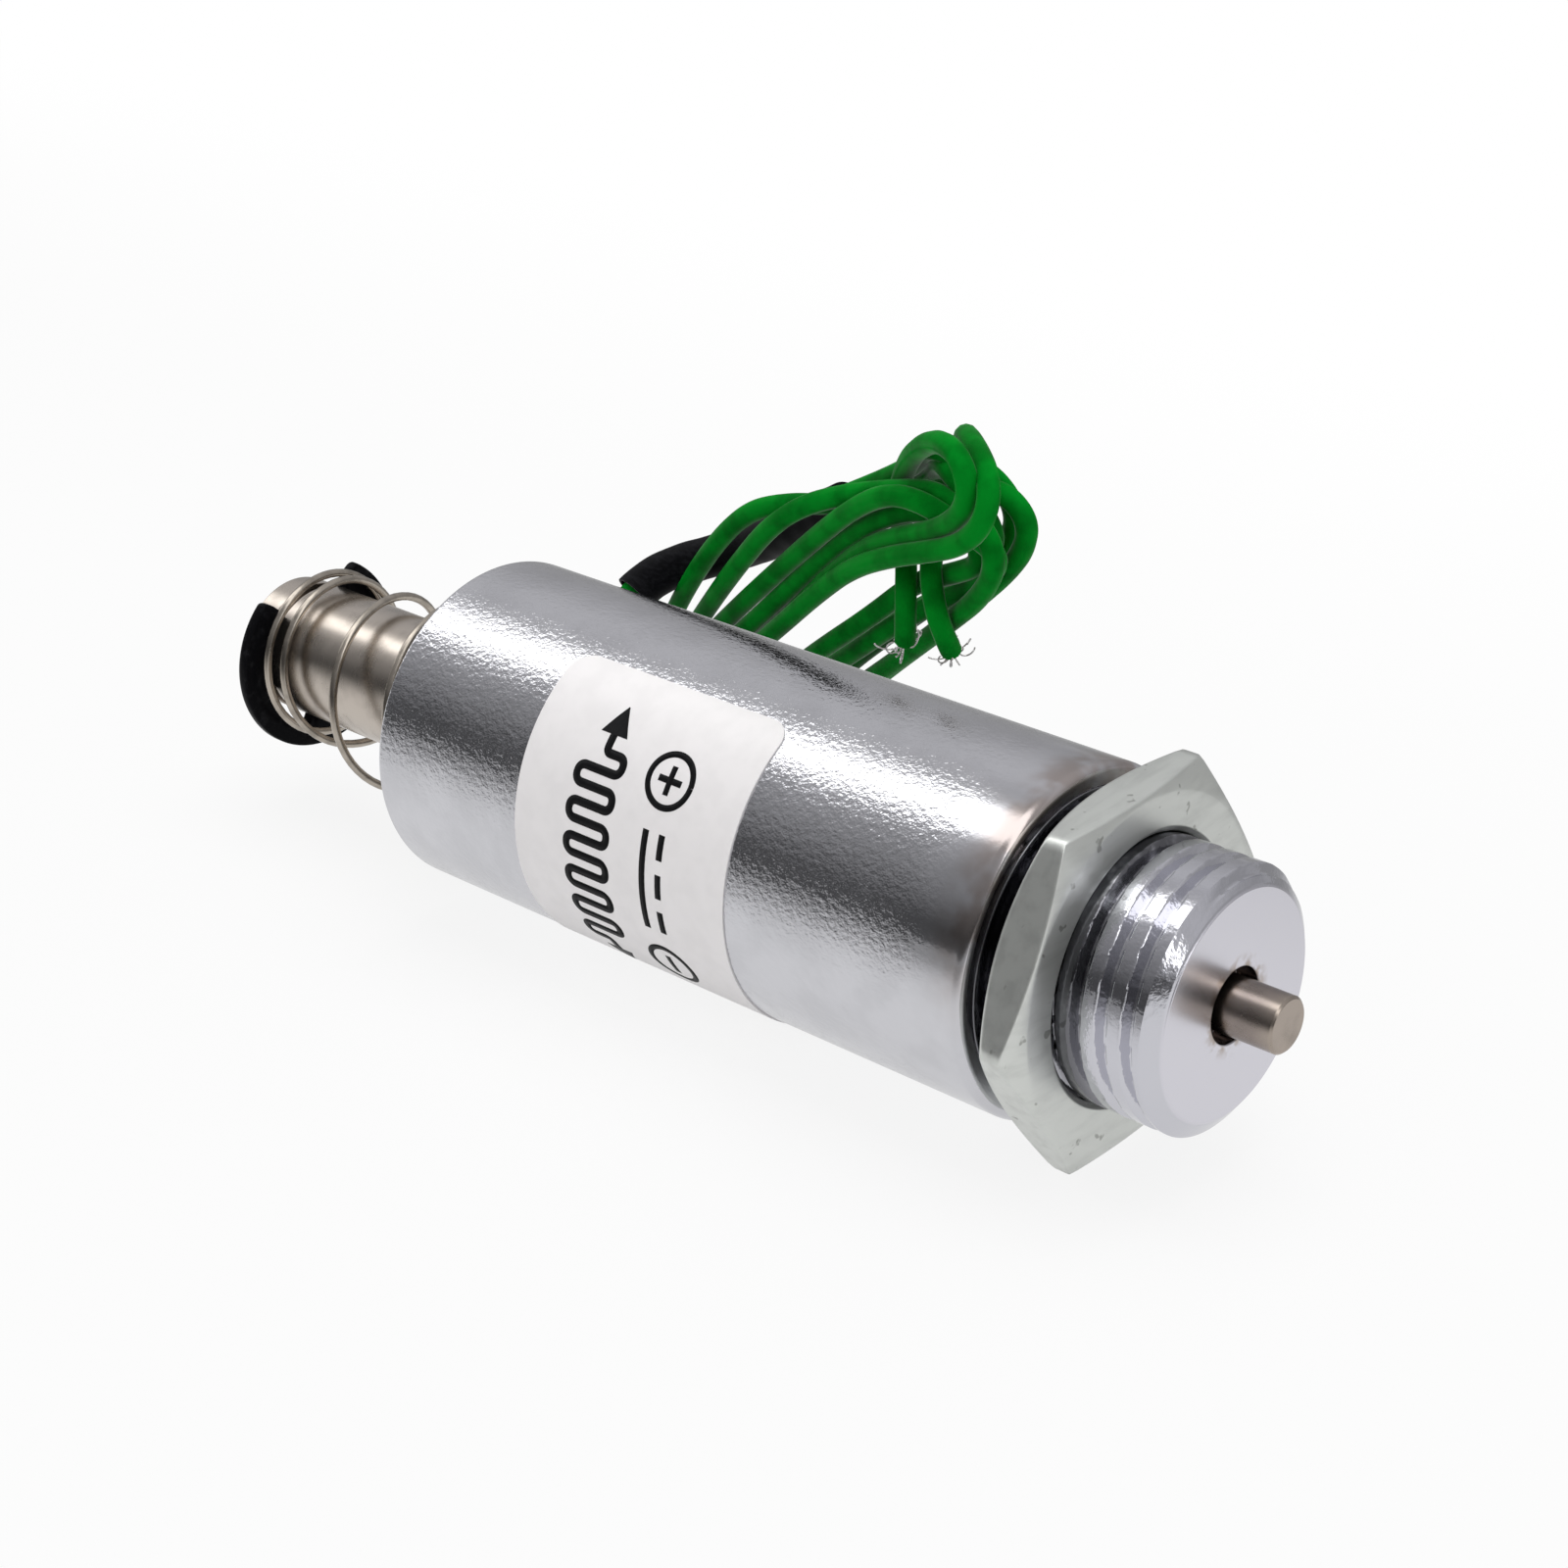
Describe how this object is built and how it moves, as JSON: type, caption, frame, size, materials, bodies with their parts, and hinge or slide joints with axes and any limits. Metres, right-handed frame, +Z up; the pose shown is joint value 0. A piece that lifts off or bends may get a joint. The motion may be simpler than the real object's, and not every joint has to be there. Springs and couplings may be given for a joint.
{
  "type": "push pull solenoid",
  "caption": "Tubular push pull solenoid with a threaded nose and nut, a push pin at the front, a spring returned plunger with a clip at the rear, and two wire leads in a hank.",
  "frame": {"origin": "on the surface that the solenoid lies on, below the middle of its length from the plunger's end to the pin's tip, with the leads left out", "axes": "+X along the plunger's axis towards the push pin, +Z up, +Y to the side where the leads leave the case"},
  "size_m": [0.0732, 0.0312, 0.0345],
  "materials": {
    "zinc_case": "bright zinc plate, slightly dimpled",
    "turned_steel": "bright plated turned steel",
    "nut_zinc": "satin zinc plate",
    "nickel": "nickel plated steel",
    "brass": "drawn brass",
    "nylon": "natural nylon",
    "copper": "enamelled copper wire",
    "tape": "polyester tape",
    "shim": "bronze shim",
    "black_clip": "black oxide",
    "spring_wire": "bright spring wire",
    "label": "white satin paper",
    "grommet": "dark green plastic",
    "sleeve": "black sleeving",
    "green_wire": "green insulation",
    "tinned": "tinned copper strands"
  },
  "bodies": {
    "housing": {"case_tube": "zinc_case", "threaded_bush": "turned_steel", "rear_plate": "turned_steel", "guide_tube": "brass", "bobbin": "nylon", "coil_winding": "copper", "winding_tape": "tape", "lead_splice_a": "tinned", "lead_splice_b": "tinned", "lead_grommet": "grommet", "lead_sleeve": "sleeve", "lead_tube_a": "green_wire", "lead_tube_b": "green_wire", "lead_hank": "green_wire", "lead_tail_a": "green_wire", "lead_tail_b": "green_wire", "lead_end_a": "tinned", "lead_end_b": "tinned", "rating_label": "label", "return_spring": "spring_wire"},
    "plunger": {"plunger": "nickel", "push_pin": "nickel", "residual_shim": "shim", "retaining_clip": "black_clip"},
    "nut": {"mounting_nut": "nut_zinc"}
  },
  "joints": [
    {"name": "plunger_slide", "type": "slide", "parent": "housing", "child": "plunger", "axis": [1, 0, 0], "range_m": [0, 0.008], "stiffness_N_per_m": 150, "deforming": ["return_spring"]},
    {"name": "nut_travel", "type": "slide", "parent": "housing", "child": "nut", "axis": [1, 0, 0], "range_m": [0, 0.0055]}
  ]
}
